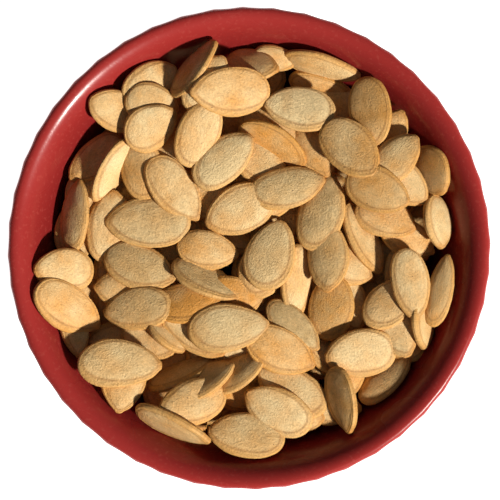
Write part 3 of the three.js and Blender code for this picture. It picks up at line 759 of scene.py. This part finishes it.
def heap_tree():
    tree = bpy.data.node_groups.new("laid_seeds", "GeometryNodeTree")
    sockets = {}
    for name, kind in (
        ("Places", "NodeSocketGeometry"), ("Kit", "NodeSocketCollection"), ("Shell", "NodeSocketMaterial"),
        ("Dent Depth", "NodeSocketFloat"), ("Dent Size", "NodeSocketFloat"),
    ):
        sockets[name] = tree.interface.new_socket(name, in_out="INPUT", socket_type=kind).identifier
    tree.interface.new_socket("Seeds", in_out="OUTPUT", socket_type="NodeSocketGeometry")
    given = add(tree, "NodeGroupInput").outputs
    turn = add(tree, "GeometryNodeInputNamedAttribute", {"Name": "turn"}, data_type="FLOAT_VECTOR")
    stretch = add(tree, "GeometryNodeInputNamedAttribute", {"Name": "stretch"}, data_type="FLOAT_VECTOR")
    form = add(tree, "GeometryNodeInputNamedAttribute", {"Name": "form"}, data_type="INT")
    kit = add(
        tree, "GeometryNodeCollectionInfo",
        {"Collection": given["Kit"], "Separate Children": True, "Reset Children": True},
    )
    rotation = add(tree, "FunctionNodeEulerToRotation", {"Euler": turn})
    placed = add(tree, "GeometryNodeInstanceOnPoints", {
        "Points": given["Places"], "Instance": kit, "Pick Instance": True, "Instance Index": form,
        "Rotation": rotation, "Scale": stretch,
    })
    joined = add(tree, "GeometryNodeRealizeInstances", {"Geometry": placed})
    per_metre = add(tree, "ShaderNodeMath", {
        "Value": 1.0, "Value_001": given["Dent Size"],
    }, operation="DIVIDE")
    dents = add(tree, "ShaderNodeTexNoise", {"Scale": per_metre, "Detail": 2.0}, normalize=True)
    depth = add(tree, "ShaderNodeMath", {"Value": dents, "Value_001": 0.5}, operation="SUBTRACT")
    depth = add(tree, "ShaderNodeMath", {
        "Value": depth, "Value_001": given["Dent Depth"],
    }, operation="MULTIPLY")
    normal = add(tree, "GeometryNodeInputNormal")
    push = add(tree, "ShaderNodeVectorMath", {"Vector": normal, "Scale": depth}, operation="SCALE")
    dented = add(tree, "GeometryNodeSetPosition", {"Geometry": joined, "Offset": push})
    smooth = add(tree, "GeometryNodeSetShadeSmooth", {"Geometry": dented})
    finished = add(tree, "GeometryNodeSetMaterial", {"Geometry": smooth, "Material": given["Shell"]})
    out = add(tree, "NodeGroupOutput")
    tree.links.new(finished.outputs[0], out.inputs[0])
    return tree, sockets


def lay_seeds(name, seeds, kit, material, tree, sockets):
    """Each seed's form is the one whose wide margin looks the right way once the seed is turned."""
    turns, stretches = [], []
    for seed in seeds:
        columns = seed_axes(seed["heading"], seed["up"])
        turns.append(Matrix(columns.tolist()).transposed().to_euler())
        stretches.append((seed["length"] / SHELL_LENGTH, seed["width"] / SHELL_WIDTH, 1.0))
    number = np.arange(len(seeds))
    places = mesh_piece(name, [(seed["x"], seed["y"], seed["z"]) for seed in seeds], [], {
        "turn": turns,
        "stretch": stretches,
        "tone": [(seed["roast"], seed["grey_and_shade"], i) for i, seed in enumerate(seeds)],
    })
    heading = np.array([seed["heading"] for seed in seeds])
    wide_turn = WIDE_SIDE + WIDE_SPREAD * (2 * draw(number, 8) - 1) - heading
    forms = np.round(wide_turn / (2 * np.pi) * SHELL_FORMS).astype(int) % SHELL_FORMS
    places.data.attributes.new("form", "INT", "POINT").data.foreach_set("value", forms)
    modifier = places.modifiers.new("laid", "NODES")
    modifier.node_group = tree
    modifier[sockets["Kit"]] = kit
    modifier[sockets["Shell"]] = material
    modifier[sockets["Dent Depth"]] = DENT_DEPTH * MM
    modifier[sockets["Dent Size"]] = DENT_SIZE * MM
    evaluated = places.evaluated_get(bpy.context.evaluated_depsgraph_get())
    mesh = bpy.data.meshes.new_from_object(evaluated)
    places.modifiers.remove(modifier)
    places.data = mesh
    places.data.name = name
    return places


def make_hull():
    """Dry roasted seed shell. It is matt and cream, golden where the roast took and greyer where its
    thin skin stayed on, with fine fibres, a papery grain, a tan margin with a brown crease inside it, a
    browned tip and a few spots. Part of the golden and grey on seeds that face away from the light, part
    of the margin's tan, which is darker towards the edge, and the brown crease are painted shade. Its
    patterns follow the seed, in millimetres along and across it."""
    material, tree = new_material("roasted_seed_shell")
    shell = add(tree, "ShaderNodeAttribute", attribute_name="shell").outputs["Vector"]
    tone = add(tree, "ShaderNodeAttribute", attribute_name="tone").outputs["Vector"]
    on_shell = add(tree, "ShaderNodeSeparateXYZ", {"Vector": shell}).outputs
    along, across, inset = on_shell["X"], on_shell["Y"], on_shell["Z"]
    of_seed = add(tree, "ShaderNodeSeparateXYZ", {"Vector": tone}).outputs
    roast, grey_and_shade, number = of_seed["X"], of_seed["Y"], of_seed["Z"]
    apart = add(tree, "ShaderNodeMath", {
        "Value": number, "Value_001": PATTERN_STEP,
    }, operation="MULTIPLY")
    place = add(tree, "ShaderNodeCombineXYZ", {"X": along, "Y": across, "Z": apart})

    blotch = add(tree, "ShaderNodeTexNoise", {"Vector": place, "Scale": 1 / BLOTCH_SIZE, "Detail": 3.0})
    cloud = add(tree, "ShaderNodeTexNoise", {"Vector": place, "Scale": 1 / CLOUD_SIZE, "Detail": 3.0})
    grain = add(tree, "ShaderNodeTexNoise", {
        "Vector": place, "Scale": 1 / GRAIN_SIZE, "Detail": 3.0, "Roughness": 0.7,
    })
    stretched = add(tree, "ShaderNodeMapping", {
        "Vector": place, "Scale": (0.5, 1.0, 1.0), "Rotation": (0, 0, 0.35),
    })
    fibre = add(tree, "ShaderNodeTexNoise", {
        "Vector": stretched, "Scale": 1 / FIBRE_SIZE, "Detail": 3.0, "Roughness": 0.65, "Distortion": 0.8,
    })

    golden = add(tree, "ShaderNodeMath", {
        "Value": blotch, "Value_001": 1.6, "Value_002": -0.8,
    }, operation="MULTIPLY_ADD")
    golden = add(tree, "ShaderNodeMath", {
        "Value": golden, "Value_001": roast,
    }, operation="ADD", use_clamp=True)
    colour = add(tree, "ShaderNodeMix", {
        "Factor_Float": golden, "A_Color": linear(SHELL_CREAM), "B_Color": linear(SHELL_GOLD),
    }, data_type="RGBA")
    # Partly painted shade: greyer in clouds on seeds with much grey_and_shade, many of them turned away
    # from the light.
    greyed_and_shaded = add(tree, "ShaderNodeMath", {"Value": grey_and_shade, "Value_001": cloud}, operation="MULTIPLY")
    greyed_and_shaded = add(tree, "ShaderNodeMapRange", {"Value": greyed_and_shaded, "From Min": 0.05, "From Max": 0.75})
    colour = add(tree, "ShaderNodeMix", {
        "Factor_Float": greyed_and_shaded, "A_Color": colour, "B_Color": linear(SHELL_GREY_AND_SHADE),
    }, data_type="RGBA")

    # Partly painted shade: the margin goes to a darker gold towards the edge, both its own tint and shade
    # on its slope.
    uneven = add(tree, "ShaderNodeMath", {
        "Value": cloud, "Value_001": 0.9, "Value_002": -0.45,
    }, operation="MULTIPLY_ADD")
    edge = add(tree, "ShaderNodeMath", {"Value": inset, "Value_001": uneven}, operation="ADD")
    margin = add(tree, "ShaderNodeMapRange", {
        "Value": edge, "From Min": 1.7, "From Max": 0.2, "To Max": 0.65,
    }, interpolation_type="SMOOTHSTEP")
    colour = add(tree, "ShaderNodeMix", {
        "Factor_Float": margin, "A_Color": colour, "B_Color": linear(SHELL_MARGIN_AND_SHADE),
    }, data_type="RGBA")
    # Painted shade: a brown line along the crease inside the margin, where the groove is in shade. The same
    # brown marks the seam, which is a real dark line.
    off_crease = add(tree, "ShaderNodeMath", {
        "Value": inset, "Value_001": CREASE_PLACE,
    }, operation="SUBTRACT")
    off_crease = add(tree, "ShaderNodeMath", {"Value": off_crease}, operation="ABSOLUTE")
    crease_shade = add(tree, "ShaderNodeMapRange", {
        "Value": off_crease, "From Min": 0.3, "From Max": 0.04, "To Max": 0.9,
    })
    crease_shade = add(tree, "ShaderNodeMath", {"Value": crease_shade, "Value_001": cloud}, operation="MULTIPLY")
    seam = add(tree, "ShaderNodeMapRange", {
        "Value": inset, "From Min": 0.0, "From Max": SEAM_INSET, "To Max": 0.7,
    })
    seam_and_crease_shade = add(tree, "ShaderNodeMath", {"Value": crease_shade, "Value_001": seam}, operation="MAXIMUM")
    colour = add(tree, "ShaderNodeMix", {
        "Factor_Float": seam_and_crease_shade, "A_Color": colour, "B_Color": linear(SHELL_SEAM_AND_CREASE_SHADE),
    }, data_type="RGBA")

    towards_tip = add(tree, "ShaderNodeMapRange", {"Value": along, "From Min": 5.0, "From Max": 9.0})
    browned = add(tree, "ShaderNodeMath", {"Value": towards_tip, "Value_001": blotch}, operation="MULTIPLY")
    browned = add(tree, "ShaderNodeMapRange", {
        "Value": browned, "From Min": 0.15, "From Max": 0.6, "To Max": 0.8,
    })
    colour = add(tree, "ShaderNodeMix", {
        "Factor_Float": browned, "A_Color": colour, "B_Color": linear(SHELL_TIP),
    }, data_type="RGBA")

    streaks = add(tree, "ShaderNodeMapRange", {
        "Value": fibre, "From Min": 0.3, "From Max": 0.7, "To Min": 0.9, "To Max": 1.1,
    })
    grit = add(tree, "ShaderNodeMapRange", {
        "Value": grain, "From Min": 0.3, "From Max": 0.7, "To Min": 0.8, "To Max": 1.2,
    })
    shade = add(tree, "ShaderNodeMath", {"Value": streaks, "Value_001": grit}, operation="MULTIPLY")
    colour = add(tree, "ShaderNodeVectorMath", {"Vector": colour, "Scale": shade}, operation="SCALE")
    spots = add(tree, "ShaderNodeTexNoise", {"Vector": place, "Scale": 1 / SPOT_SIZE, "Detail": 1.0})
    spots = add(tree, "ShaderNodeMapRange", {
        "Value": spots, "From Min": 0.76, "From Max": 0.8, "To Max": 0.7,
    })
    colour = add(tree, "ShaderNodeMix", {
        "Factor_Float": spots, "A_Color": colour, "B_Color": linear(SHELL_SPOT),
    }, data_type="RGBA")

    ribbed = add(tree, "ShaderNodeBump", {"Height": fibre, "Strength": 1.0, "Distance": 0.13 * MM})
    gritty = add(tree, "ShaderNodeBump", {
        "Height": grain, "Strength": 1.0, "Distance": 0.24 * MM, "Normal": ribbed,
    })
    shader = add(tree, "ShaderNodeBsdfPrincipled", {
        "Base Color": colour, "Roughness": 0.62, "Normal": gritty, "IOR": 1.45,
    })
    add(tree, "ShaderNodeOutputMaterial", {"Surface": shader})
    return material


hull = make_hull()
laid_tree, laid_sockets = heap_tree()
fine_kit = shell_kit("shell", SHELL_SIDES, SHELL_SECTION)
plain_kit = shell_kit("bed_shell", BED_SIDES, BED_SECTION)
top_seeds = lay_seeds("seeds_on_top", shown, fine_kit, hull, laid_tree, laid_sockets)
bed_seeds = lay_seeds("seeds_in_the_bed", bed, plain_kit, hull, laid_tree, laid_sockets)
for kit in (fine_kit, plain_kit):
    for shape in list(kit.objects):
        bpy.data.objects.remove(shape)
    bpy.data.collections.remove(kit)
for piece in (top_seeds, bed_seeds):
    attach(piece, "root")
    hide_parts("seeds")


# ---- Core of the heap ---------------------------------------------------------------------------
# The seeds deep in the bowl, which no gap shows one by one. They are packed tight, so they are one
# lumpy body out to just clear of the bowl's inner face, painted the dark brown of shaded shells and
# darker still between the lumps: painted shade.

CORE_TOP = 36.0
CORE_FALL = BED_FALL * 0.6  # how much lower the core is at its edge
CORE_LUMP = 1.6
CORE_SINK = 0.7  # how far the lumps lie under the core's top, in lumps
CORE_OVER_FLOOR = 1.0
CORE_OFF_WALL = 0.3  # more than the bed's seeds
CORE_SECTORS = 72
CORE_RINGS = 16
CORE_LEVELS = 12
WALL_FROM = 20.0  # the bowl's inside is nearly level up to this radius
WALL_SAMPLES = 400

# Painted shade: the brown of shells deep in shade, and darker between the lumps.
CORE_SHADE_BROWN = "#523A1C"
CORE_SHADE_DARK = "#2A1C0C"
PACKED_SIZE = 9.0


def make_core():
    """A closed body of rings, outwards over the lumpy top and then down beside the wall."""
    angle = 2 * np.pi * np.arange(CORE_SECTORS) / CORE_SECTORS
    levels = np.linspace(FLOOR_TOP + CORE_OVER_FLOOR, CORE_TOP - CORE_FALL, CORE_LEVELS)
    radii = np.linspace(WALL_FROM, RIM_RADIUS, WALL_SAMPLES)
    side = np.interp(levels, wall_height(radii), radii) - wall_gap - CORE_OFF_WALL
    reach = side[-1]
    rings = []
    for ring in range(1, CORE_RINGS):
        radius = reach * ring / CORE_RINGS
        x, y = radius * np.cos(angle), radius * np.sin(angle)
        # Waves of 5 to 13 mm, so that the lumps are about as wide as seeds.
        lumps = np.sin(x * 0.52 + 1.7) * np.sin(y * 0.47) + 0.5 * np.sin(x * 0.9 - y * 0.8)
        fall = CORE_FALL * (ring / CORE_RINGS) ** 2
        rings.append(np.stack([x, y, CORE_TOP - fall + CORE_LUMP * (lumps - CORE_SINK)], axis=-1))
    for radius, level in zip(side[::-1], levels[::-1]):
        rings.append(np.stack([radius * np.cos(angle), radius * np.sin(angle), angle * 0 + level], axis=-1))
    vertices = np.vstack([*rings, [[0, 0, CORE_TOP - CORE_LUMP], [0, 0, levels[0]]]])
    top, bottom = len(vertices) - 2, len(vertices) - 1
    faces = []
    for sector in range(CORE_SECTORS):
        beside = (sector + 1) % CORE_SECTORS
        faces.append((top, sector, beside))
        for ring in range(len(rings) - 1):
            inner, outer = ring * CORE_SECTORS, (ring + 1) * CORE_SECTORS
            faces.append((inner + sector, outer + sector, outer + beside, inner + beside))
        last = (len(rings) - 1) * CORE_SECTORS
        faces.append((last + sector, bottom, last + beside))
    return mesh_piece("heap_core", vertices, faces, {})


def make_core_shade():
    """Seed shells packed tight, with painted shade: the brown of shells in deep shade, darker still between
    the lumps, rough with a scaly pattern.
    """
    material, tree = new_material("core_painted_shade")
    place = add(tree, "ShaderNodeTexCoord").outputs["Object"]
    cells = add(tree, "ShaderNodeTexVoronoi", {"Vector": place, "Scale": pattern_scale(PACKED_SIZE)})
    off_middle = cells.outputs["Distance"]
    colour = add(tree, "ShaderNodeMix", {
        "Factor_Float": off_middle, "A_Color": linear(CORE_SHADE_BROWN), "B_Color": linear(CORE_SHADE_DARK),
    }, data_type="RGBA")
    raised = add(tree, "ShaderNodeBump", {
        "Height": off_middle, "Strength": 1.0, "Distance": 2 * MM,
    }, invert=True)
    shader = add(tree, "ShaderNodeBsdfPrincipled", {
        "Base Color": colour, "Roughness": 0.8, "Normal": raised,
    })
    add(tree, "ShaderNodeOutputMaterial", {"Surface": shader})
    return material


core = make_core()
core.data.materials.append(make_core_shade())
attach(core, "root")
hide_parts("seeds")


# ---- Floor, light and camera --------------------------------------------------------------------
# A plain white floor that glows a little, one key light from the lower right whose shadows have soft
# edges, a weak even fill, and a camera that looks straight down from a metre above the rim.

FLOOR_SIZE = 4000.0
FLOOR_WHITE = (0.85, 0.85, 0.85, 1)
FLOOR_GLOW = 1.0
KEY_AZIMUTH = np.radians(-40)
KEY_ELEVATION = np.radians(36)
KEY_STRENGTH = 5.1
KEY_ANGLE = np.radians(4)
KEY_COLOUR = (1.0, 0.96, 0.9)
FILL_STRENGTH = 0.09
FILL_COLOUR = (0.88, 0.94, 1.0, 1)
CAMERA_HEIGHT = 1000.0  # over the rim
CAMERA_PLACE = (0.21, -0.45)  # beside the bowl's axis, which is just off the picture's middle
VIEW_WIDTH = 124.0  # what the picture's width takes in at the rim's height
SENSOR = 36.0

end = FLOOR_SIZE / 2
floor = mesh_piece(
    "floor", [(-end, -end, 0), (end, -end, 0), (end, end, 0), (-end, end, 0)], [(0, 1, 2, 3)], {}
)
floor_paint, floor_tree = new_material("white_floor")
floor_shader = add(floor_tree, "ShaderNodeBsdfPrincipled", {
    "Base Color": FLOOR_WHITE, "Roughness": 0.9,
    "Emission Color": (1, 1, 1, 1), "Emission Strength": FLOOR_GLOW,
})
add(floor_tree, "ShaderNodeOutputMaterial", {"Surface": floor_shader})
floor.data.materials.append(floor_paint)

world = bpy.data.worlds.new("studio")
world.use_nodes = True
fill = world.node_tree.nodes["Background"].inputs
fill["Color"].default_value = FILL_COLOUR
fill["Strength"].default_value = FILL_STRENGTH
bpy.context.scene.world = world

key_light = bpy.data.lights.new("key", "SUN")
key_light.energy = KEY_STRENGTH
key_light.angle = KEY_ANGLE
key_light.color = KEY_COLOUR
key = bpy.data.objects.new("key", key_light)
towards_key = Vector((
    np.cos(KEY_ELEVATION) * np.cos(KEY_AZIMUTH), np.cos(KEY_ELEVATION) * np.sin(KEY_AZIMUTH),
    np.sin(KEY_ELEVATION),
))
key.rotation_euler = towards_key.to_track_quat("Z", "Y").to_euler()
key.location = towards_key
bpy.context.scene.collection.objects.link(key)

camera_data = bpy.data.cameras.new("camera")
camera_data.sensor_width = SENSOR
camera_data.sensor_height = SENSOR
camera_data.lens = SENSOR * CAMERA_HEIGHT / VIEW_WIDTH
camera = bpy.data.objects.new("camera", camera_data)
camera.location = (CAMERA_PLACE[0] * MM, CAMERA_PLACE[1] * MM, (BOWL_HEIGHT + CAMERA_HEIGHT) * MM)
bpy.context.scene.collection.objects.link(camera)
bpy.context.scene.camera = camera
bpy.context.scene.view_settings.view_transform = "Standard"
